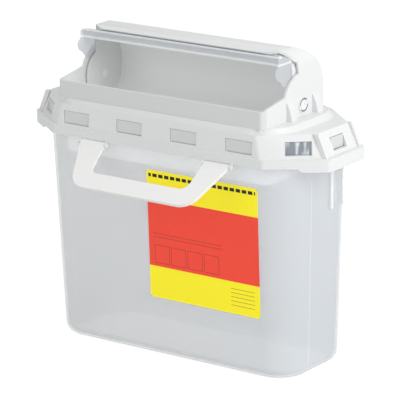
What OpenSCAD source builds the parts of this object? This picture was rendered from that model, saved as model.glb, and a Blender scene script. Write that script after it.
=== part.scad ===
// Side-entry sharps container: a clear tapered tub under a clipped-on lid, with a hooded
// throat whose counterweighted tray swings forward to drop its load and close the mouth.
// Millimetres. X runs along the width, the front faces -Y, Z is up.
// The origin is the middle of the tub's foot.

/* [Tub] */
// Width of the tub at its foot
tub_w = 249; // [205:1:300]
// Depth of the tub at its foot
tub_d = 92; // [92:1:112]
// Height of the tub's rim
tub_h = 190; // [155:1:230]
// Outward lean of the side walls for each millimetre of height
side_lean = 0.028; // [0.01:0.002:0.036]
// Outward lean of the front and back walls for each millimetre of height
front_lean = 0.022; // [0.01:0.002:0.03]
// Radius of the upright corners
corner_r = 28; // [14:1:34]
// Radius of the edge round the foot
foot_r = 9; // [4:1:12]
// Thickness of the tub's walls
tub_wall = 2; // [1.6:0.1:2.6]
// Thickness of the rim's flange
flange_t = 2.5; // [2:0.1:3]

/* [Lid skirt] */
// Reach of the skirt beyond the rim at each side
side_reach = 23.5; // [20:0.5:27]
// Reach of the skirt beyond the rim at front and back
front_reach = 7.4; // [7.2:0.1:9]
// Width of the corner cuts, seen from the front
cut_x = 43; // [36:1:48]
// Depth of the corner cuts, seen from the side
cut_y = 32; // [27:1:36]
// Height of the upright band at the foot of the skirt
band_h = 7.5; // [6:0.5:9]
// Height of the sloping face above the band
slope_h = 19; // [17:0.5:22]
// How far the band hangs lower round the ends
end_drop = 3; // [1:0.5:5]
// Thickness of the lid's walls
lid_wall = 2; // [1.6:0.1:2.4]
// Height of the raised deck that carries the hood
deck_h = 4.5; // [3:0.5:7]

/* [Windows and catches] */
// Width of a window in the skirt
window_w = 27; // [20:0.5:32]
// Height of a window
window_h = 11; // [8:0.5:12]
// Distance from one front window to the next
window_pitch = 56; // [48:1:58]
// Width of the windows in the two ends
end_window_w = 19; // [14:0.5:24]
// Width of the windows in the cut corners
corner_window_w = 22; // [16:0.5:26]
// Distance of a corner window from the middle of its cut, towards the end
corner_shift = 7; // [0:0.5:8]
// Gap between a catch and its window
catch_gap = 0.4; // [0.3:0.05:0.7]

/* [Hood and throat] */
// Width of the throat and hood outside
throat_w = 211; // [180:1:214]
// Distance from the middle to the throat's front wall
throat_front = 52; // [48:0.5:52]
// Distance from the middle to the hood's back wall
hood_back = 38; // [38:0.5:40]
// Height of the throat's front wall above the deck
front_wall_h = 14.6; // [10:0.2:20]
// Outer radius of the hood's roof
roof_r = 39.5; // [39:0.5:42]
// Height of the roof's centre above the deck
roof_rise = 18; // [17:0.5:20]
// Distance of the roof's centre in front of the middle
roof_ahead = 3; // [2:0.5:4]
// Radius of the roof's two end corners
end_round = 17; // [12:0.5:19]
// Radius of the ears round the pivots
ear_r = 28; // [26:0.5:30]

/* [Tray] */
// Height of the pivots above the deck
pivot_rise = 9; // [8:0.5:10]
// Distance of the pivots behind the middle
pivot_back = 6.5; // [5:0.5:6.5]
// Gap between the tray's ends and the hood
tray_gap = 0.8; // [0.6:0.1:1.5]
// Gap between the tray's back and the hood's roof
roof_gap = 2.5; // [2.2:0.1:3.5]
// Thickness of the tray's walls
tray_wall = 1.8; // [1.4:0.1:2.2]
// Radius of the tray's bowl
bowl_r = 18.5; // [16:0.5:19]
// Radius of the pivot pins
pin_r = 3.5; // [2.5:0.1:4.5]
// Clearance round a turning pin
pin_gap = 0.06; // [0.03:0.01:0.09]
// Height of the lip bar's face
lip_h = 7; // [5:0.5:9]
// Diameter of the counterweight bar
weight_d = 5.6; // [4:0.2:5.8]
// Length of the counterweight bar in a throat of the usual width
weight_len = 190; // [120:1:194]

/* [Handle] */
// Width over the handle's two roots
handle_w = 154; // [120:1:170]
// Reach of the handle from its pivots
handle_reach = 45.7; // [38:0.1:60]
// Width of a leg at its root
leg_w = 25; // [18:0.5:30]
// Width of the grip bar
grip_w = 15.7; // [12:0.1:20]
// Thickness of the handle
handle_t = 3; // [2.4:0.1:3.2]
// Angle at which the handle stands off from straight down
handle_lean = 52; // [48:1:56]
// Thickness of the lugs that carry the handle
lug_t = 2; // [1.6:0.1:3]
// Radius of the handle's pivot stubs
stub_r = 1.2; // [1:0.05:1.3]

/* [Chute] */
// Drop of the chute below the deck
chute_drop = 48; // [35:1:60]
// Thickness of the chute's walls
chute_wall = 1.8; // [1.4:0.1:2.2]

/* [Label] */
// Width of the label
label_w = 113; // [80:1:120]
// Height of the label
label_h = 112; // [80:1:115]
// Height of the label's foot
label_z = 53; // [35:1:58]
// Distance from the middle to the label's left edge
label_x = -15; // [-40:1:-10]

/* [Hidden] */
$fn = 64;
eps = 0.01;
big = 400;

// Sizes of the rim and of the lid that fits over it
rim_w = tub_w + 2 * side_lean * tub_h;
rim_d = tub_d + 2 * front_lean * tub_h;
lid_w = rim_w + 2 * side_reach;
lid_d = rim_d + 2 * front_reach;
rim_gap = 0.2;
band_top_z = tub_h + rim_gap + lid_wall;
band_z = band_top_z - band_h;
shoulder_z = band_top_z + slope_h;
deck_z = shoulder_z + deck_h;

// Insets of the sloping face from the band, at its foot and at its top
foot_in_x = 5.7;
foot_in_y = 1.2;
top_in_x = 14;
top_in_y = 3;

// Middle of the windows, and how far the sloping face is in from the band there
window_mid = 7.8;
window_z = band_top_z + window_mid;
front_in = foot_in_y + (top_in_y - foot_in_y) * window_mid / slope_h;
end_in = foot_in_x + (top_in_x - foot_in_x) * window_mid / slope_h;

// Run of a cut corner along X and Y at the windows' height, and the way it faces
skirt_r = 6;
corner_k = 0.4;
run_x = cut_x - corner_k * (end_in + skirt_r);
run_y = cut_y - corner_k * skirt_r;
corner_turn = atan2(run_y, run_x);
corner_x = lid_w / 2 - end_in - skirt_r - run_x / 2 + skirt_r * sin(corner_turn)
           + corner_shift * cos(corner_turn);
corner_y = lid_d / 2 - front_in - skirt_r - run_y / 2 + skirt_r * cos(corner_turn)
           - corner_shift * sin(corner_turn);

// Inside faces of the throat and hood
in_w = throat_w - 2 * lid_wall;
in_front = throat_front - lid_wall;
in_back = hood_back - lid_wall;

// Centres in the YZ plane: the pivots, the roof and the bowl
piv = [pivot_back, deck_z + pivot_rise];
roof = [-roof_ahead, deck_z + roof_rise];
bowl = [piv[0] + 5.5, piv[1]];
roof_lip_angle = 112.5;

// Tray: its length, the radius of its back and its front edge
tray_len = in_w - 2 * (tray_gap + tray_wall + 0.2);
back_r = roof_r - lid_wall - roof_gap;
front_edge = [-in_front + pivot_back, deck_z + 0.5];
disc_r = ear_r - 4.1;
web_y = -5;

// Counterweight: its centre and the caps that hold it
weight_angle = -58;
weight_off = bowl_r + weight_d / 2 + 0.1;
weight_at = [bowl[0] + weight_off * cos(weight_angle), bowl[1] + weight_off * sin(weight_angle)];
cap_wall = 1;
cap_len = 8;

// The bar's length follows the throat it lies in
usual_throat_w = 211;
bar_len = weight_len + throat_w - usual_throat_w;

// Lip bar: its face, its top and its foot
lip_y = -22.5;
lip_top = roof[1] + 35.4;
lip_t = 2.2;

// Handle pivot
hinge = [-lid_d / 2 - 0.5, band_z - 2.6];
lug_r = 2.3;
root_gap = 0.3;

// Points of an arc about [y, z]
function arc(c, r, a0, a1, n) = [for (i = [0:n]) c + r * [cos(a0 + (a1 - a0) * i / n),
                                                           sin(a0 + (a1 - a0) * i / n)]];

// Half width and half depth of the tub's outside at a height
function half_w(z) = tub_w / 2 + side_lean * z;
function half_d(z) = tub_d / 2 + front_lean * z;

// Draws children in the YZ plane and gives them a width along X
module along_x(w) {
    rotate([90, 0, 90]) translate([0, 0, -w / 2]) linear_extrude(w) children();
}

// Rectangle with round corners from [x0, y0] to [x1, y1]
module round_rect(x0, y0, x1, y1, r) {
    translate([x0 + r, y0]) square([x1 - x0 - 2 * r, y1 - y0]);
    translate([x0, y0 + r]) square([x1 - x0, y1 - y0 - 2 * r]);
    for (x = [x0 + r, x1 - r], y = [y0 + r, y1 - r]) translate([x, y]) circle(r);
}

// One level of a tapered shell
module level(z, w, d, r) {
    translate([0, 0, z]) linear_extrude(eps) round_rect(-w, -d, w, d, r, $fn = 48);
}

// Solid of the tub's outside, drawn in by a wall thickness
module tub_form(in, z0, z1) {
    r = foot_r - in;
    hull() {
        for (a = [0:22.5:90])
            level(z0 + r * (1 - sin(a)), half_w(0) - in - r * (1 - cos(a)),
                  half_d(0) - in - r * (1 - cos(a)), corner_r - in - r * (1 - cos(a)));
        level(z1 - eps, half_w(z1) - in, half_d(z1) - in, corner_r - in);
    }
}

// Outline with cut corners, its sides set in by in_x and in_y
module cut_outline(in_x, in_y) {
    w = lid_w / 2 - in_x - skirt_r;
    d = lid_d / 2 - in_y - skirt_r;
    cx = cut_x - corner_k * (in_x + skirt_r);
    for (sx = [-1, 1], sy = [-1, 1]) {
        translate([sx * w, sy * (d - run_y)]) circle(skirt_r, $fn = 32);
        translate([sx * (w - cx), sy * d]) circle(skirt_r, $fn = 32);
    }
}

// Places a front, an end and a corner child wherever the skirt has such a window
module at_windows(in) {
    for (side = [0, 180], i = [-1.5:1:1.5])
        rotate([0, 0, side]) translate([i * window_pitch, -lid_d / 2 + front_in + in, window_z])
            children(0);
    for (side = [0, 180])
        rotate([0, 0, side]) translate([lid_w / 2 - end_in - in, 0, window_z])
            rotate([0, 0, 90]) children(1);
    for (sx = [-1, 1], sy = [-1, 1])
        translate([sx * corner_x, sy * corner_y, window_z])
            rotate([0, 0, sy < 0 ? sx * corner_turn : 180 - sx * corner_turn])
                translate([0, in, 0]) children(2);
}

// Block that fills a window or cuts it
module window_block(w, h, depth) {
    translate([-w / 2, -depth[0], -h / 2]) cube([w, depth[0] + depth[1], h]);
}

// ---- Tub: clear tapered bin with a flange, catches and bracket rails
module tub() {
    color([0.80, 0.83, 0.86, 0.6]) {
        difference() {
            union() {
                tub_form(0, 0, tub_h);
                bracket_rails();
                back_rails();
            }
            tub_form(tub_wall, tub_wall, tub_h + 1);
        }
        rim_flange();
        at_windows(0) {
            catch(window_w, 0.8, lid_wall + 0.6);
            catch(end_window_w, 1.6, lid_wall + 3.3);
            catch(corner_window_w, 1, lid_wall + 2.3);
        }
    }
}

// Flange that the lid's ledge rests on, with a shelf across each corner
rim_play = 0.4;
flange_in = 0.4;
shelf_r = 36;
module rim_flange() {
    w = half_w(tub_h) - tub_wall - flange_in;
    d = half_d(tub_h) - tub_wall - flange_in;
    difference() {
        translate([0, 0, tub_h - flange_t]) linear_extrude(flange_t) hull()
            cut_outline(lid_wall + rim_play, lid_wall + rim_play);
        translate([0, 0, tub_h - flange_t - 1]) linear_extrude(flange_t + 2)
            round_rect(-w, -d, w, d, shelf_r);
    }
}

// Catch: a nib in the window on a plate that stands on the flange
plate_t = 2.5;
plate_drop = 1.2;
module catch(w, nib_in, plate_in) {
    low = tub_h - flange_t / 2 - window_z;
    high = window_h / 2 - catch_gap;
    translate([catch_gap - w / 2, plate_in, low]) cube([w - 2 * catch_gap, plate_t, high - plate_drop - low]);
    translate([catch_gap - w / 2, nib_in, -high])
        cube([w - 2 * catch_gap, plate_in - nib_in + 1, 2 * high]);
}

// Upright rails that a wall bracket slides over, on both ends
rail_z = band_z - 46;
rail_h = 40;
rail_t = 1.6;
rail_y = 9;
rail_gap = 17;
module bracket_rails() {
    for (sx = [-1, 1], y = [rail_y, rail_y + rail_gap])
        translate([sx * (half_w(rail_z) - 1) - (sx > 0 ? 0 : rail_t + 2), y, rail_z])
            cube([rail_t + 2, 3, rail_h]);
}

// Pairs of ribs on the back corners
back_rib_x = 105;
back_rib_pitch = 11;
module back_rails() {
    for (sx = [-1, 1], x = [0, back_rib_pitch])
        translate([sx * (back_rib_x + x) - 1, half_d(rail_z) - 8, rail_z])
            cube([2, 10, rail_h]);
}

// ---- Lid: skirt, sloping face with windows, shoulder, raised deck and handle lugs
module lid() {
    color([0.86, 0.87, 0.86]) difference() {
        union() {
            difference() {
                skirt_form(0);
                skirt_notch();
            }
            deck_form(0);
            handle_lugs();
            end_ribs();
        }
        skirt_form(lid_wall);
        deck_form(lid_wall);
        translate([0, 0, shoulder_z - 6]) linear_extrude(big)
            throat_outline(in_w, in_front, in_back, in_corner_r, in_corner_r);
        at_windows(lid_wall + 1) {
            window_block(window_w, window_h, [10, 2]);
            window_block(end_window_w, window_h, [10, 5]);
            window_block(corner_window_w, window_h, [10, 5]);
        }
        lug_bores();
    }
}

// Solid of the skirt, set in by a wall thickness
module skirt_form(in) {
    low = in > 0 ? 1 : 0;
    translate([0, 0, band_z - end_drop - low]) linear_extrude(band_h + end_drop + low - in) hull()
        cut_outline(in, in);
    hull() {
        translate([0, 0, band_top_z - in - low / 2]) linear_extrude(eps)
            cut_outline(foot_in_x + in * 1.1, foot_in_y + in);
        translate([0, 0, shoulder_z - in - eps]) linear_extrude(eps)
            cut_outline(top_in_x + in * 1.1, top_in_y + in);
    }
}

// Raised deck with sloping sides
deck_foot_x = 16.5;
deck_top_x = 12;
deck_foot_r = 35;
deck_top_r = 30;
module deck_form(in) {
    low = in > 0 ? 2 : 0;
    hull() {
        translate([0, 0, shoulder_z - in - low - eps]) linear_extrude(eps)
            round_rect(-throat_w / 2 - deck_foot_x + in, -lid_d / 2 + top_in_y + 0.4 + in,
                       throat_w / 2 + deck_foot_x - in, hood_back + 13 - in,
                       deck_foot_r - in, $fn = 40);
        translate([0, 0, deck_z - in - eps]) linear_extrude(eps)
            round_rect(-throat_w / 2 - deck_top_x + in, -throat_front - 1 + in,
                       throat_w / 2 + deck_top_x - in, hood_back + 9 - in,
                       deck_top_r - in, $fn = 40);
    }
}

// The skirt's lower edge is cut back along the front and the back
module skirt_notch() {
    flat = lid_w / 2 - cut_x / 2;
    rotate([90, 0, 0]) translate([0, 0, -big / 2]) linear_extrude(big)
        polygon([[-flat - 3, band_z - end_drop - 2], [-flat - 3, band_z - end_drop], [-flat, band_z],
                 [flat, band_z], [flat + 3, band_z - end_drop], [flat + 3, band_z - end_drop - 2]]);
}

// Ribs up the sloping face where each end meets its cut corners
rib_out = 2;
rib_w = 3;
module end_ribs() {
    intersection() {
        for (sx = [-1, 1], sy = [-1, 1])
            translate([sx * (lid_w / 2 - foot_in_x), sy * (lid_d / 2 - cut_y - 1.5), band_top_z])
                rotate([0, -sx * atan((top_in_x - foot_in_x) / slope_h), 0])
                    translate([-rib_out, -rib_w / 2, -slope_h / 2])
                        cube([2 * rib_out, rib_w, 2 * slope_h]);
        translate([-big / 2, -big / 2, band_top_z - 1]) cube([big, big, slope_h + 1]);
    }
}

// Lugs under the band that carry the handle
lug_in_x = handle_w / 2 - leg_w - root_gap - lug_t;
lug_out_x = handle_w / 2 + root_gap;
module handle_lugs() {
    for (sx = [-1, 1], x = [lug_in_x, lug_out_x])
        translate([sx * (x + lug_t / 2), 0, 0]) along_x(lug_t) {
            translate(hinge) circle(lug_r);
            translate([hinge[0], hinge[1]]) square([lug_r, band_z + 2 - hinge[1]]);
        }
}

module lug_bores() {
    translate([0, hinge[0], hinge[1]]) rotate([0, 90, 0])
        cylinder(h = handle_w + 20, r = stub_r + pin_gap, center = true);
}

// ---- Hood: throat, ears and roof in one shell that stands on the deck
module throat_outline(w, front, back, rf, rb) {
    translate([-w / 2, rf - front]) square([w, front + back - rf - rb]);
    translate([rf - w / 2, -front]) square([w - 2 * rf, front]);
    translate([rb - w / 2, 0]) square([w - 2 * rb, back]);
    for (sx = [-1, 1]) {
        translate([sx * (w / 2 - rf), rf - front]) circle(rf);
        translate([sx * (w / 2 - rb), back - rb]) circle(rb);
    }
}

// Side view of the hood and its ears
ear_start = [-throat_front, deck_z + front_wall_h];
ear_low_angle = 157;
function hood_side() = concat(
    [[-throat_front, deck_z], ear_start],
    arc(piv, ear_r, ear_low_angle, 102, 14),
    [[-0.5, piv[1] + ear_r + 9]],
    arc(roof, roof_r, roof_lip_angle, 0, 28),
    [[hood_back, deck_z]]);

// Side view of the space inside, open towards the mouth
function hood_inside() = concat(
    [[-in_front, deck_z - 1], [-in_front, big]],
    [[roof[0] + roof_r * cos(roof_lip_angle), big]],
    arc(roof, roof_r - lid_wall, roof_lip_angle, 0, 28),
    [[in_back, deck_z - 1]]);

// Front view with rounded upper corners, from low to top
module front_view(w, low, top, r) {
    translate([-w / 2, low]) square([w, top - r - low]);
    translate([-w / 2 + r, low]) square([w - 2 * r, top - low]);
    for (sx = [-1, 1]) translate([sx * (w / 2 - r), top - r]) circle(r, $fn = 96);
}

// Corners in plan: the throat's, and the roof's larger ones above the ears
out_corner_r = 3.5;
in_corner_r = 1.5;
roof_corner_r = 30;
roof_front = roof_r * -cos(roof_lip_angle) - roof[0] + 0.1;
roof_cut_z = piv[1] + ear_r + 9;
module hood() {
    color([0.93, 0.94, 0.94]) difference() {
        union() {
            intersection() {
                along_x(throat_w) polygon(hood_side());
                union() {
                    translate([0, 0, deck_z]) linear_extrude(roof_cut_z - deck_z)
                        throat_outline(throat_w, throat_front, hood_back, out_corner_r, out_corner_r);
                    translate([0, 0, roof_cut_z]) linear_extrude(big)
                        throat_outline(throat_w, roof_front, hood_back, roof_corner_r, out_corner_r);
                }
                translate([0, big / 2, 0]) rotate([90, 0, 0]) linear_extrude(big)
                    front_view(throat_w, deck_z - 2, roof[1] + roof_r, end_round);
            }
            ear_bosses();
            ear_gussets();
        }
        intersection() {
            along_x(in_w) polygon(hood_inside());
            translate([0, 0, deck_z - 1]) linear_extrude(big)
                throat_outline(in_w, in_front, in_back, in_corner_r, in_corner_r);
            union() {
                translate([0, big / 2, 0]) rotate([90, 0, 0]) linear_extrude(big)
                    front_view(in_w, deck_z - 2, roof[1] + roof_r - lid_wall, end_round - lid_wall);
                translate([-in_w / 2, -big + roof[0] + roof_r * cos(roof_lip_angle), deck_z - 1])
                    cube([in_w, big, big]);
            }
        }
        along_x(throat_w + 20) translate(piv) circle(pin_r + pin_gap);
        boss_slots();
    }
}

// Boss round each pivot, with a curved slot on either side of the pin
boss_r = 6.8;
boss_h = 0.8;
module ear_bosses() {
    for (sx = [-1, 1]) translate([sx * (throat_w / 2 + boss_h / 2 - eps), 0, 0])
        along_x(boss_h) translate(piv) circle(boss_r);
}

module boss_slots() {
    for (sx = [-1, 1]) translate([sx * (throat_w / 2 + boss_h), 0, 0]) along_x(2.4)
        translate(piv) difference() {
            circle(5.8);
            circle(4.6);
            rotate(20) square([20, 4], center = true);
        }
}

// Buttresses between the ears and the deck
gusset_h = 16;
gusset_out = 6;
gusset_w = 8;
module ear_gussets() {
    for (sx = [-1, 1], y = [piv[0] - 20.5, piv[0] + 17])
        translate([sx * (throat_w / 2 - 0.5), y + gusset_w / 2, deck_z]) rotate([90, 0, 0])
            linear_extrude(gusset_w) polygon([[0, 0], [sx * gusset_out, 0],
                                              [sx * gusset_out * 0.7, 9], [sx * 2, gusset_h - 2],
                                              [0, gusset_h]]);
}

// ---- Chute: guides the load from the tray past the rim, clipped under the deck
module chute() {
    z0 = deck_z - chute_drop;
    top = deck_z - lid_wall - 0.1;
    front = in_front - 3.7;
    color([0.84, 0.85, 0.85]) difference() {
        union() {
            translate([0, 0, z0]) linear_extrude(top - z0)
                throat_outline(in_w + 2 * chute_wall, front, in_back + chute_wall, 7, 2);
            translate([0, 0, top - chute_wall]) linear_extrude(chute_wall)
                throat_outline(in_w + 12, front, in_back + 6, 24, 24);
        }
        translate([0, 0, z0 - 1]) linear_extrude(big)
            throat_outline(in_w, front - chute_wall, in_back, 5.2, 1.5);
    }
}

// ---- Tray: back, bowl and ramp in one curved sheet
tray_side_n = 24;
function tray_path(in) = concat(
    arc(roof, back_r - in, 110, -8, tray_side_n),
    arc(bowl, bowl_r - in, 0, -100, 16),
    [front_edge + in * [0.2, 1]]);

module tray() {
    outer = tray_path(0);
    inner = tray_path(tray_wall);
    n = len(inner);
    color([0.78, 0.79, 0.79]) difference() {
        union() {
            intersection() {
                along_x(tray_len) polygon(concat(outer, [for (i = [n - 1:-1:0]) inner[i]]));
                under_roof();
            }
            weight_ribs();
        }
        along_x(bar_len + 2) translate(weight_at) circle(weight_d / 2);
    }
}

// Ribs under the bowl that hold the counterweight
rib_t = 3;
module weight_ribs() {
    for (x = [-60, 0, 60]) translate([x, 0, 0]) along_x(rib_t) difference() {
        union() {
            translate(weight_at) circle(weight_d / 2 + cap_wall);
            polygon([bowl + (bowl_r - 1) * [cos(weight_angle - 16), sin(weight_angle - 16)],
                     weight_at - [weight_d / 2, 0],
                     weight_at + [weight_d / 2 + 0.6, 0.6],
                     bowl + (bowl_r - 1) * [cos(weight_angle + 16), sin(weight_angle + 16)]]);
        }
        translate(bowl) circle(bowl_r - 0.8);
    }
}

// Counterweight: steel bar that keeps the tray open
module counterweight() {
    color([0.6, 0.6, 0.62]) along_x(bar_len) translate(weight_at) circle(weight_d / 2);
}

// Cap over each end of the counterweight
module weight_cap(sx) {
    color([0.78, 0.79, 0.79]) difference() {
        translate([sx * (bar_len / 2 - cap_len / 2 + 1), 0, 0]) along_x(cap_len + 2)
            translate(weight_at) circle(weight_d / 2 + cap_wall);
        translate([sx * (bar_len / 2 - cap_len / 2 - 10), 0, 0]) along_x(cap_len + 20)
            translate(weight_at) circle(weight_d / 2);
        along_x(big) translate(bowl) circle(bowl_r + 0.05);
    }
}

// Space under the roof's round ends in which the tray and lip turn
module under_roof() {
    translate([0, big / 2, 0]) rotate([90, 0, 0]) linear_extrude(big)
        front_view(in_w - 2 * tray_gap + 0.2, 0, roof[1] + back_r + 1.6, end_round + 1);
}

// End wall of the tray: a web whose lower part is the disc round the pivot pin
module tray_end(sx) {
    color([0.90, 0.90, 0.89]) difference() {
        intersection() {
            translate([sx * (tray_len / 2 + tray_wall / 2 + 0.1), 0, 0]) along_x(tray_wall)
                polygon(tray_end_outline());
            under_roof();
        }
        along_x(big) translate(piv) circle(pin_r);
    }
}

function tray_end_outline() = concat(
    [[web_y, roof[1] + 26]],
    arc(roof, back_r, 92, -8, tray_side_n),
    arc(piv, disc_r, -3, acos((web_y - piv[0]) / disc_r) - 360, 40));

// ---- Pivot pin: fixed in the tray's end, turning in the ear
module pivot_pin(sx) {
    x_in = tray_len / 2 + 0.1;
    x_out = throat_w / 2 + boss_h;
    color([0.95, 0.95, 0.94]) translate([sx * (x_in + x_out) / 2, 0, 0]) difference() {
        along_x(x_out - x_in) translate(piv) circle(pin_r);
        translate([sx * (x_out - x_in) / 2, 0, 0]) along_x(2) translate(piv) circle(pin_r - 1.6);
    }
}

// ---- Lip bar: clear bar with a bead along each edge, and a strip under the roof
bead_w = 3;
bead_h = 1.5;
module lip_bar() {
    under = back_r + 0.1;
    strip = 1.4;
    web = [lip_y + 0.8, lip_y + 2.2];
    color([0.75, 0.78, 0.80, 0.6]) {
        along_x(tray_len) {
            translate([lip_y, lip_top - lip_h]) square([bead_w, bead_h]);
            translate([web[0], lip_top - lip_h]) square([web[1] - web[0], lip_h]);
            translate([lip_y, lip_top - bead_h]) square([bead_w, bead_h]);
        }
        intersection() {
            along_x(tray_len) polygon(concat(
                arc(roof, under + strip, 118.4, 84, 12), arc(roof, under, 84, 118.4, 12),
                [[web[0] + 0.3, roof[1] + 30], [web[0] + 0.3, roof[1] + 31.5]]));
            under_roof();
        }
    }
}

// End plate of the lip bar, with the catch that locks into the throat when closed
function lip_end_path() = [
    [lip_y + 2, lip_top + 0.6], [lip_y, lip_top], [lip_y - 1.2, lip_top - 2],
    [lip_y - 1.2, lip_top - 6], [lip_y - 2.5, lip_top - 8.5], [lip_y - 5, lip_top - 10.5],
    [lip_y - 5.6, lip_top - 13], [lip_y - 5, lip_top - 16], [lip_y - 2.8, lip_top - 18.5],
    [lip_y + 1, lip_top - 20.5], [lip_y + 3, lip_top - 23.5], [lip_y + 5.5, lip_top - 25.3],
    [lip_y + 8.5, lip_top - 25.5], [lip_y + 11, lip_top - 24], [lip_y + 22, lip_top - 20],
    [lip_y + 22, lip_top - 5], [lip_y + 12, lip_top - 2]];

module lip_end(sx) {
    color([0.72, 0.76, 0.80, 0.6]) translate([sx * (tray_len / 2 + tray_wall / 2 + 0.1), 0, 0])
        along_x(tray_wall) difference() {
            polygon(lip_end_path());
            translate([web_y - 0.05, 0]) square([big, big]);
            translate(piv) circle(disc_r + 0.05);
        }
}

// ---- Handle: flat bail that hangs from the lugs
module handle() {
    color([0.97, 0.97, 0.96]) {
        translate([0, hinge[0], hinge[1]]) rotate([90 - handle_lean, 0, 0]) handle_plate();
        for (sx = [-1, 1]) translate([sx * (handle_w / 2 - leg_w / 2), 0, 0]) {
            along_x(leg_w) {
                translate(hinge) circle(handle_t / 2 + 0.3);
                translate(hinge - [0, 1]) square([lug_r, band_z - root_gap - hinge[1] + 1]);
            }
            along_x(leg_w + 2 * (root_gap + lug_t)) translate(hinge) circle(stub_r);
        }
    }
}

// The bail drawn flat, hanging down from the pivots
grip_corner = [handle_w / 2 - 28.5, 17 - handle_reach];
grip_corner_r = 17;
inner_corner = [handle_w / 2 - leg_w - 9.5, grip_w + 8 - handle_reach];
inner_corner_r = 8;
root_up = 0.5;
module handle_plate() {
    translate([0, 0, -handle_t / 2]) linear_extrude(handle_t) difference() {
        polygon(bail_outline([handle_w / 2, 0], grip_corner, grip_corner_r));
        polygon(bail_outline([handle_w / 2 - leg_w, root_up], inner_corner, inner_corner_r));
    }
}

// Outline from a root point down to a rounded corner, mirrored about the middle
function start_angle(root, c, r) = atan2(root[1] - c[1], root[0] - c[0]) - acos(r / norm(root - c));
function half_bail(root, c, r) = concat([root], arc(c, r, start_angle(root, c, r), -90, 16));
function bail_outline(root, c, r) = concat(
    half_bail(root, c, r),
    [for (i = [17:-1:0]) [-half_bail(root, c, r)[i][0], half_bail(root, c, r)[i][1]]]);

// ---- Label: thin film on the tub's front wall
label_t = 0.3;
label_corner_r = 3;
module front_label() {
    tilt = atan(front_lean);
    color([0.98, 0.92, 0.1]) translate([label_x, -half_d(label_z) - 0.02, label_z])
        rotate([90 + tilt, 0, 0]) linear_extrude(label_t)
            round_rect(0, 0, label_w, label_h, label_corner_r);
}

tub();
lid();
hood();
chute();
tray();
tray_end(-1);  // tray_end_left
tray_end(1);  // tray_end_right
lip_bar();
lip_end(-1);  // lip_end_left
lip_end(1);  // lip_end_right
pivot_pin(-1);  // pivot_pin_left
pivot_pin(1);  // pivot_pin_right
counterweight();
weight_cap(-1);  // weight_cap_left
weight_cap(1);  // weight_cap_right
handle();
front_label();
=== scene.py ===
import math

import bmesh
import bpy
from mathutils import Matrix, Vector


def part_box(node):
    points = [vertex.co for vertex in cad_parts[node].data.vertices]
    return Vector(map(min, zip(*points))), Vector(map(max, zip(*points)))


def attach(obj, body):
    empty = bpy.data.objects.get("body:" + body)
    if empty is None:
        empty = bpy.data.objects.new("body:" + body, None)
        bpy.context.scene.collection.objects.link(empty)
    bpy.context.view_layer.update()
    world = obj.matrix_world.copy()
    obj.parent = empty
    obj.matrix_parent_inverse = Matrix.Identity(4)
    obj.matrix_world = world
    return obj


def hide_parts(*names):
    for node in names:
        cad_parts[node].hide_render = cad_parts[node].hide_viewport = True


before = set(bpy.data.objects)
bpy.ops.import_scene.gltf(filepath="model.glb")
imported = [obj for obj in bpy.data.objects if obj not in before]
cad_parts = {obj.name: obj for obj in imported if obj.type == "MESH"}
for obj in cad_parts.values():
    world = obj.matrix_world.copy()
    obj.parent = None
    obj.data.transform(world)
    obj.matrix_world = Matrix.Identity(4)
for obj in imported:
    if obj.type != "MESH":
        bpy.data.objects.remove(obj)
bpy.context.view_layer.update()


# ---- Tub -------------------------------------------------------------------------------
# The bin itself is one thin-walled moulding in natural polypropylene, milky rather than clear,
# so the chute shows through it as a soft shape. Masks on position whiten its rails, ribs and
# catches. The whitening of the rails, the ribs and a line along the end seam is painted highlight,
# and dark and white streaks of painted glint cross the clear catches on the right. The ribs glow
# to stand in for passed light, and the tint turns bluer towards the right-hand end as painted
# light.
MM = 0.001


class Signal:
    """A socket of a material, with arithmetic that adds Math nodes."""

    def __init__(self, finish, socket):
        self.finish = finish
        self.socket = socket

    def _with(self, operation, first, second):
        return self.finish.node("ShaderNodeMath", {"operation": operation},
                                {0: first, 1: second})

    def __add__(self, other):
        return self._with("ADD", self, other)

    __radd__ = __add__

    def __sub__(self, other):
        return self._with("SUBTRACT", self, other)

    def __rsub__(self, other):
        return self._with("SUBTRACT", other, self)

    def __mul__(self, other):
        return self._with("MULTIPLY", self, other)

    __rmul__ = __mul__

    def __lt__(self, other):
        return self._with("LESS_THAN", self, other)

    def __gt__(self, other):
        return self._with("GREATER_THAN", self, other)

    def wrapped(self, period):
        return self._with("FLOORED_MODULO", self, period)

    def distance_from(self, value):
        return self.finish.node("ShaderNodeMath", {"operation": "ABSOLUTE"}, {0: self - value})


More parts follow.
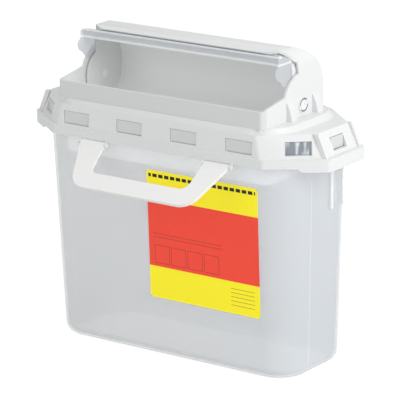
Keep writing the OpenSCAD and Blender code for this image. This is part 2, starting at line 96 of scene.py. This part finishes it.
class Finish:
    """A material that starts as one Principled shader."""

    def __init__(self, name, **inputs):
        self.material = bpy.data.materials.new(name)
        self.material.use_nodes = True
        self.tree = self.material.node_tree
        self.shader = self.tree.nodes["Principled BSDF"]
        self.set(**inputs)

    def set(self, **inputs):
        for key, value in inputs.items():
            self._feed(self.shader.inputs[key.replace("_", " ")], value)

    def _feed(self, socket, value):
        if isinstance(value, Signal):
            self.tree.links.new(value.socket, socket)
        elif isinstance(value, (tuple, list)) and len(value) == 3 and socket.type == "RGBA":
            socket.default_value = (*value, 1.0)
        else:
            socket.default_value = value

    def node(self, kind, settings=None, inputs=None, output=0):
        made = self.tree.nodes.new(kind)
        for key, value in (settings or {}).items():
            setattr(made, key, value)
        for key, value in (inputs or {}).items():
            self._feed(made.inputs[key], value)
        return Signal(self, made.outputs[output])

    def place(self):
        return self.node("ShaderNodeTexCoord", output="Object")

    def axes(self):
        split = self.node("ShaderNodeSeparateXYZ", inputs={0: self.place()})
        return [Signal(self, out) for out in split.socket.node.outputs]

    def stretched(self, *factors):
        return self.node("ShaderNodeVectorMath", {"operation": "MULTIPLY"},
                         {0: self.place(), 1: factors})

    def noise(self, scale, detail=2.0):
        return self.node("ShaderNodeTexNoise", inputs={
            "Vector": self.place(), "Scale": scale, "Detail": detail})

    def blend(self, mask, first, second):
        mix = self.node("ShaderNodeMix", {"data_type": "RGBA"}, output=2)
        made = mix.socket.node
        self._feed(made.inputs[0], mask)
        self._feed(made.inputs[6], first)
        self._feed(made.inputs[7], second)
        return mix

    def relief(self, height, depth, strength=1.0):
        self.set(Normal=self.node("ShaderNodeBump", inputs={
            "Strength": strength, "Distance": depth, "Height": height}))


def moulded(node, name, body, finish, edge=0.0, crease=28.0, segments=2):
    """A copy of a CAD node with merged points, rounded edges and smooth faces."""
    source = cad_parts[node]
    mesh = source.data.copy()
    mesh.name = name
    work = bmesh.new()
    work.from_mesh(mesh)
    bmesh.ops.remove_doubles(work, verts=work.verts, dist=0.003 * MM)
    bmesh.ops.dissolve_limit(work, angle_limit=math.radians(0.6), verts=work.verts,
                             edges=work.edges, delimit=set())
    for face in work.faces:
        face.smooth = True
    sharp = math.radians(crease)
    for line in work.edges:
        line.smooth = len(line.link_faces) == 2 and line.calc_face_angle(0) < sharp
    work.to_mesh(mesh)
    work.free()
    mesh.materials.clear()
    mesh.materials.append(finish.material)
    piece = bpy.data.objects.new(name, mesh)
    bpy.context.scene.collection.objects.link(piece)
    if edge:
        bevel = piece.modifiers.new("edges", "BEVEL")
        bevel.limit_method = "ANGLE"
        bevel.angle_limit = sharp
        bevel.width = edge
        bevel.segments = segments
        bevel.harden_normals = True
        bevel.use_clamp_overlap = True
    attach(piece, body)
    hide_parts(node)
    return piece


natural = Finish("natural_polypropylene", IOR=1.49, Specular_IOR_Level=0.4)
cloud = natural.noise(9.0, 3.0)
x, y, z = natural.axes()
low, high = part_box("tub")
CATCH_FOOT, RAIL_TOP = high.z - 16.5 * MM, high.z - 20 * MM
CORNER_X, CORNER_Y = 105 * MM, -20 * MM
catches = z > CATCH_FOOT
glassy = catches * (x > CORNER_X) * (y < CORNER_Y)
# The dark and white streaks on the clear corner catches are painted glints and painted reflections.
streak = natural.node("ShaderNodeTexNoise", inputs={
    "Vector": natural.stretched(1.0, 1.0, 0.25), "Scale": 190.0, "Detail": 1.0})
WALL_X, WALL_Y, LEAN_X, LEAN_Y = 124.9 * MM, 46.4 * MM, 0.028, 0.022
RAIL_Y, RAIL_PITCH, RAIL_WIDE = 8.7 * MM, 17 * MM, 3.6 * MM
rails = ((x.distance_from(0.0) - LEAN_X * z > WALL_X) * (z < RAIL_TOP)
         * ((y - RAIL_Y).wrapped(RAIL_PITCH) < RAIL_WIDE) * (y > 0.0))
ribs = (y - LEAN_Y * z > WALL_Y) * (z < RAIL_TOP)
milky = natural.blend(cloud, (0.72, 0.75, 0.77), (0.77, 0.795, 0.81))
# Painted light: the tub's colour turns bluer and slightly lighter towards the right-hand end, where
# the lamp falls.
LIT_TINT_SLOPE, LIT_TINT_MIDDLE = 6.0, 0.2
painted_right_tint = natural.blend(LIT_TINT_SLOPE * x + LIT_TINT_MIDDLE, milky, (0.72, 0.77, 0.82))
catches_with_glints = natural.blend(glassy, (0.74, 0.75, 0.75),
                     natural.blend((streak - 0.40) * 5.0, (0.28, 0.32, 0.36), (1.0, 1.0, 1.0)))
SEAM_Y, SEAM_HALF, SEAM_X = -16.5 * MM, 0.5 * MM, 120 * MM
seam_highlight = (y.distance_from(SEAM_Y) < SEAM_HALF) * (x > SEAM_X)
# Rails, rear ribs and the end seam are whitened as painted highlights, and the ribs also glow below
# as painted light.
painted_highlights = natural.blend(rails + ribs + 0.7 * seam_highlight, painted_right_tint, (0.97, 0.98, 0.98))
natural.set(Base_Color=natural.blend(catches, painted_highlights, catches_with_glints), Roughness=0.26 + 0.12 * cloud,
            Alpha=0.33 + 0.59 * catches + 0.5 * (rails + ribs),
            Emission_Color=natural.blend(ribs, (0.0, 0.0, 0.0), (1.0, 1.0, 1.0)),
            Emission_Strength=0.9)
natural.relief(natural.noise(60.0, 1.0), 0.08 * MM, 0.2)
moulded("tub", "tub_shell", "container", natural, edge=0.3 * MM)


# ---- Lid -------------------------------------------------------------------------------
# The lid is a light grey polypropylene moulding that snaps over the tub's flange. Its surface is
# finely spark-eroded, so it is matte, with slightly soft edges at every step.
lid_grey = Finish("lid_polypropylene", Specular_IOR_Level=0.35)
grain = lid_grey.noise(2200.0, 2.0)
drift = lid_grey.noise(14.0, 3.0)
lid_grey.set(Base_Color=lid_grey.blend(drift, (0.76, 0.775, 0.775), (0.81, 0.82, 0.82)),
             Roughness=0.4 + 0.12 * drift)
lid_grey.relief(grain, 0.03 * MM, 0.5)
moulded("lid", "lid_shell", "container", lid_grey, edge=0.5 * MM)


# ---- Hood ------------------------------------------------------------------------------
# The throat, the two ears and the curved roof are one pale moulding that stands on the lid's
# deck. Its front wall is painted darker than the roof as painted shade, and the boss slots round
# each pin are painted dark as painted shade in the recesses.
hood_white = Finish("hood_polypropylene", Specular_IOR_Level=0.4)
drift = hood_white.noise(12.0, 3.0)
x, y, z = hood_white.axes()
pin_low, pin_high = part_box("pivot_pin_right")
hinge = Vector(((pin_low.y + pin_high.y) / 2, (pin_low.z + pin_high.z) / 2))
low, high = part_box("hood")
FRONT_DEPTH, FRONT_TALL = 6 * MM, 22 * MM
shaded = (y < low.y + FRONT_DEPTH) * (z < low.z + FRONT_TALL)
pale_wall = hood_white.blend(drift, (0.76, 0.77, 0.772), (0.80, 0.806, 0.81))
# The boss slots round each pin are painted nearly black: painted shade in the recesses.
SLOT_FLOOR, SLOT_FACE, SLOT_R = 104 * MM, 106.1 * MM, 6.2 * MM
slots = (x.distance_from(0.0) < SLOT_FACE) * (x.distance_from(0.0) > SLOT_FLOOR)
around = ((y - hinge.x) * (y - hinge.x) + (z - hinge.y) * (z - hinge.y))
slot_shade = slots * (around < SLOT_R ** 2)
# The lower front wall takes a darker colour: painted shade.
wall = hood_white.blend(shaded, pale_wall, (0.70, 0.708, 0.71))
hood_white.set(Base_Color=hood_white.blend(slot_shade, wall, (0.28, 0.29, 0.30)),
               Roughness=0.36 + 0.12 * drift)
hood_white.relief(hood_white.noise(1800.0, 2.0), 0.02 * MM, 0.5)
moulded("hood", "hood_shell", "container", hood_white, edge=0.5 * MM)


# ---- Chute and tray --------------------------------------------------------------------
# The chute hangs under the deck, and the tray's curved sheet turns above it. The tray is grey and
# the chute white, and both glow, the chute more: painted light that stands in for light passing
# through thin polypropylene. The weight caps share the tray's finish and its glow.
# The tray glows faintly: painted light.
tray_grey = Finish("tray_polypropylene", Specular_IOR_Level=0.35,
                   Emission_Color=(1.0, 1.0, 0.99), Emission_Strength=0.08)
drift = tray_grey.noise(10.0, 2.0)
tray_grey.set(Base_Color=tray_grey.blend(drift, (0.75, 0.76, 0.755), (0.79, 0.80, 0.795)),
              Roughness=0.42 + 0.1 * drift)
tray_grey.relief(tray_grey.noise(1600.0, 2.0), 0.02 * MM, 0.5)
# The chute is coloured white and glows strongly: painted light that makes it show lighter through
# the tub.
chute_white_glow = Finish("chute_polypropylene", Specular_IOR_Level=0.35,
                     Emission_Color=(1.0, 1.0, 1.0), Emission_Strength=0.42)
drift = chute_white_glow.noise(10.0, 2.0)
chute_white_glow.set(Base_Color=chute_white_glow.blend(drift, (0.84, 0.85, 0.85), (0.90, 0.905, 0.90)),
                Roughness=0.42 + 0.1 * drift)
chute_white_glow.relief(chute_white_glow.noise(1600.0, 2.0), 0.02 * MM, 0.5)
moulded("chute", "chute_sleeve", "container", chute_white_glow, edge=0.3 * MM)
moulded("tray", "tray_sheet", "door", tray_grey, edge=0.2 * MM)


# ---- Tray ends and pins ----------------------------------------------------------------
# A white plate closes each end of the tray, and its pin snaps into the ear's bore. The steel bar
# under the bowl lies in ribs, with a cap over each end.
moulded("tray_end_left", "tray_cheek_left", "door", hood_white, edge=0.2 * MM)
moulded("tray_end_right", "tray_cheek_right", "door", hood_white, edge=0.2 * MM)
bail_white = Finish("bail_polypropylene", Specular_IOR_Level=0.45)
drift = bail_white.noise(16.0, 3.0)
bail_white.set(Base_Color=bail_white.blend(drift, (0.86, 0.86, 0.855), (0.90, 0.90, 0.895)),
               Roughness=0.33 + 0.12 * drift)
bail_white.relief(bail_white.noise(1800.0, 2.0), 0.02 * MM, 0.5)
for side in ("left", "right"):
    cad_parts[f"pivot_pin_{side}"].material_slots[0].material = bail_white.material
    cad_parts[f"weight_cap_{side}"].material_slots[0].material = tray_grey.material
steel = Finish("drawn_steel_bar", Metallic=1.0)
streak = steel.noise(900.0, 2.0)
steel.set(Base_Color=steel.blend(streak, (0.5, 0.5, 0.51), (0.62, 0.62, 0.63)),
          Roughness=0.3 + 0.15 * streak)
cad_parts["counterweight"].material_slots[0].material = steel.material


# ---- Lip bar ---------------------------------------------------------------------------
# A clear moulded bar runs along the tray's upper edge, where fingers pull the door shut. Brighter
# bands of painted highlight mark its two beads, the plastic glows faintly as painted light, and the
# same clear plastic makes the plates at its ends.
# The clear plastic glows faintly: painted light that lifts the strip shaded under the roof's edge.
clear = Finish("clear_lip_plastic", IOR=1.5, Alpha=0.55, Specular_IOR_Level=0.6,
               Emission_Color=(0.92, 0.96, 1.0), Emission_Strength=0.07)
haze = clear.noise(30.0, 2.0)
x, y, z = clear.axes()
low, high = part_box("lip_bar")
BEAD = 1.7 * MM
# Painted highlights: bright bands along the bar's two beads.
bead_highlights = z.distance_from((low.z + high.z) / 2) > (high.z - low.z) / 2 - BEAD
glass = clear.blend(haze, (0.56, 0.585, 0.61), (0.63, 0.66, 0.69))
clear.set(Base_Color=clear.blend(bead_highlights * (z > low.z), glass, (0.96, 0.97, 0.98)),
          Roughness=0.1 + 0.08 * haze)
clear.relief(clear.noise(120.0, 1.0), 0.05 * MM, 0.3)
moulded("lip_bar", "lip_strip", "door", clear, edge=0.3 * MM)
moulded("lip_end_left", "lip_hook_left", "door", clear, edge=0.3 * MM)
moulded("lip_end_right", "lip_hook_right", "door", clear, edge=0.3 * MM)


# ---- Handle ----------------------------------------------------------------------------
# The bail is a flat white polypropylene moulding with well rounded edges. Two stubs at each root
# turn in the lid's lugs, and a heel under the band holds it out at an angle.
moulded("handle", "bail", "handle", bail_white, edge=0.9 * MM, segments=3)


# ---- Label -----------------------------------------------------------------------------
# A printed film covers part of the front wall: yellow, a red band and yellow again, with a plain
# dashed fill line near the top. Four blank boxes and thin rules are its only other print.
low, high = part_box("front_label")
# The film glows in its own printed colours: painted light that brightens the print.
film = Finish("label_film", Specular_IOR_Level=0.5, Emission_Strength=0.14)
x, y, z = film.axes()
RED_LOW, RED_HIGH = low.z + 28 * MM, low.z + 87.5 * MM
DASH_Z, DASH_PITCH, DASH_LONG, DASH_TALL = low.z + 107.7 * MM, 6.1 * MM, 4.6 * MM, 3.0 * MM
red_band = (z > RED_LOW) * (z < RED_HIGH)
dashes = (((x - low.x).wrapped(DASH_PITCH) < DASH_LONG)
          * (z.distance_from(DASH_Z) < DASH_TALL / 2)
          * (x > low.x + 2 * MM) * (x < high.x - 2 * MM))
ink = film.noise(400.0, 2.0)
yellow = film.blend(ink, (0.95, 0.83, 0.004), (0.99, 0.89, 0.006))
red = film.blend(ink, (0.84, 0.045, 0.02), (0.92, 0.065, 0.03))
BOX_LOW, BOX_HIGH, BOX_PITCH, RULE = low.z + 31 * MM, low.z + 47 * MM, 17 * MM, 0.45 * MM
ROW_START, ROW_END, BOX_WIDE = low.x + 6 * MM, low.x + 74 * MM, 15 * MM
across = (x - ROW_START).wrapped(BOX_PITCH)
in_row = (x > ROW_START) * (x < ROW_END) * (z > BOX_LOW) * (z < BOX_HIGH)
inside = (across > RULE) * (across < BOX_WIDE) * (z > BOX_LOW + RULE) * (z < BOX_HIGH - RULE)
outlines = in_row * (1.0 - inside) * (across < BOX_WIDE + RULE)
RULE_LOW, RULE_HIGH = low.z + 54 * MM, low.z + 57 * MM
RULE_START, RULE_END = low.x + 5 * MM, low.x + 76 * MM
rules = (((z.distance_from(RULE_LOW) < RULE / 2) + (z.distance_from(RULE_HIGH) < RULE / 2))
         * (x > RULE_START) * (x < RULE_END))
NOTE_PITCH, NOTE_TALL, NOTE_LOW, NOTE_HIGH = 3.6 * MM, 0.5 * MM, low.z + 7 * MM, low.z + 24 * MM
NOTE_START, NOTE_END = low.x + 84 * MM, low.x + 108 * MM
notes = (((z - low.z).wrapped(NOTE_PITCH) < NOTE_TALL) * (z > NOTE_LOW) * (z < NOTE_HIGH)
         * (x > NOTE_START) * (x < NOTE_END))
thin = (outlines + rules + notes) * 0.75
colours = film.blend(thin, film.blend(red_band, yellow, red), (0.12, 0.03, 0.02))
printed = film.blend(dashes, colours, (0.004, 0.004, 0.004))
film.set(Base_Color=printed, Emission_Color=printed, Roughness=0.3 + 0.08 * ink)
film.relief(ink, 0.01 * MM, 0.3)
moulded("front_label", "label_print", "container", film)


# ---- Studio ----------------------------------------------------------------------------
# A pale floor and a white surround light the container softly, with the brighter side on its
# right-hand end.
floor_mesh = bpy.data.meshes.new("floor")
sheet = bmesh.new()
bmesh.ops.create_grid(sheet, x_segments=1, y_segments=1, size=6.0)
sheet.to_mesh(floor_mesh)
sheet.free()
floor = bpy.data.objects.new("floor", floor_mesh)
bpy.context.scene.collection.objects.link(floor)
pale = Finish("pale_floor", Base_Color=(0.8, 0.8, 0.8), Roughness=0.9, Specular_IOR_Level=0.1)
seen = pale.node("ShaderNodeLightPath", output="Is Camera Ray")
glow = pale.node("ShaderNodeEmission", inputs={"Color": (1.0, 1.0, 1.0), "Strength": 1.14})
base = Signal(pale, pale.shader.outputs[0])
mixed = pale.node("ShaderNodeMixShader", inputs={0: 0.8 * seen, 1: base, 2: glow})
pale.tree.links.new(mixed.socket, pale.tree.nodes["Material Output"].inputs["Surface"])
floor_mesh.materials.append(pale.material)

world = bpy.data.worlds.new("surround")
bpy.context.scene.world = world
world.use_nodes = True
tree = world.node_tree
tree.nodes.clear()
path = tree.nodes.new("ShaderNodeLightPath")
most = tree.nodes.new("ShaderNodeMath")
most.operation = "MAXIMUM"
tree.links.new(path.outputs["Is Camera Ray"], most.inputs[0])
tree.links.new(path.outputs["Is Transmission Ray"], most.inputs[1])
ambient = tree.nodes.new("ShaderNodeBackground")
ambient.inputs["Color"].default_value = (1.0, 1.0, 1.0, 1.0)
ambient.inputs["Strength"].default_value = 0.62
white = tree.nodes.new("ShaderNodeBackground")
white.inputs["Color"].default_value = (1.0, 1.0, 1.0, 1.0)
white.inputs["Strength"].default_value = 1.0
join = tree.nodes.new("ShaderNodeMixShader")
out = tree.nodes.new("ShaderNodeOutputWorld")
tree.links.new(most.outputs[0], join.inputs[0])
tree.links.new(ambient.outputs[0], join.inputs[1])
tree.links.new(white.outputs[0], join.inputs[2])
tree.links.new(join.outputs[0], out.inputs["Surface"])


def softbox(name, place, target, size, watts):
    """A square area light that faces a point."""
    lamp = bpy.data.lights.new(name, "AREA")
    lamp.size = size
    lamp.energy = watts
    box = bpy.data.objects.new(name, lamp)
    box.location = place
    box.rotation_euler = (Vector(target) - Vector(place)).to_track_quat("-Z", "Y").to_euler()
    bpy.context.scene.collection.objects.link(box)


softbox("key", (1.7, -0.25, 1.1), (0, 0, 0.12), 1.2, 19)
softbox("fill", (-0.9, -1.7, 0.9), (0, 0, 0.12), 1.2, 4)
softbox("top", (0.1, 0.2, 1.8), (0, 0, 0.12), 1.2, 3)


# ---- Camera ----------------------------------------------------------------------------
# A long lens looks down on the front and the right-hand end.
AZIMUTH, ELEVATION, ROLL = math.radians(36.57), math.radians(16.24), math.radians(-1.05)
AIM = Vector((0.00317, 0.0, 0.12866))
DISTANCE = 2.363
back = Vector((math.sin(AZIMUTH) * math.cos(ELEVATION), -math.cos(AZIMUTH) * math.cos(ELEVATION),
               math.sin(ELEVATION)))
level = Vector((math.cos(AZIMUTH), math.sin(AZIMUTH), 0.0))
upward = back.cross(level)
right = math.cos(ROLL) * level + math.sin(ROLL) * upward
up = math.cos(ROLL) * upward - math.sin(ROLL) * level
lens = bpy.data.cameras.new("camera")
lens.sensor_width = 36.0
lens.lens = 250.6
lens.clip_end = 20.0
camera = bpy.data.objects.new("camera", lens)
turn = Matrix((right, up, back)).transposed()
camera.matrix_world = Matrix.Translation(AIM + back * DISTANCE) @ turn.to_4x4()
bpy.context.scene.collection.objects.link(camera)
bpy.context.scene.camera = camera
bpy.context.scene.view_settings.view_transform = "Standard"
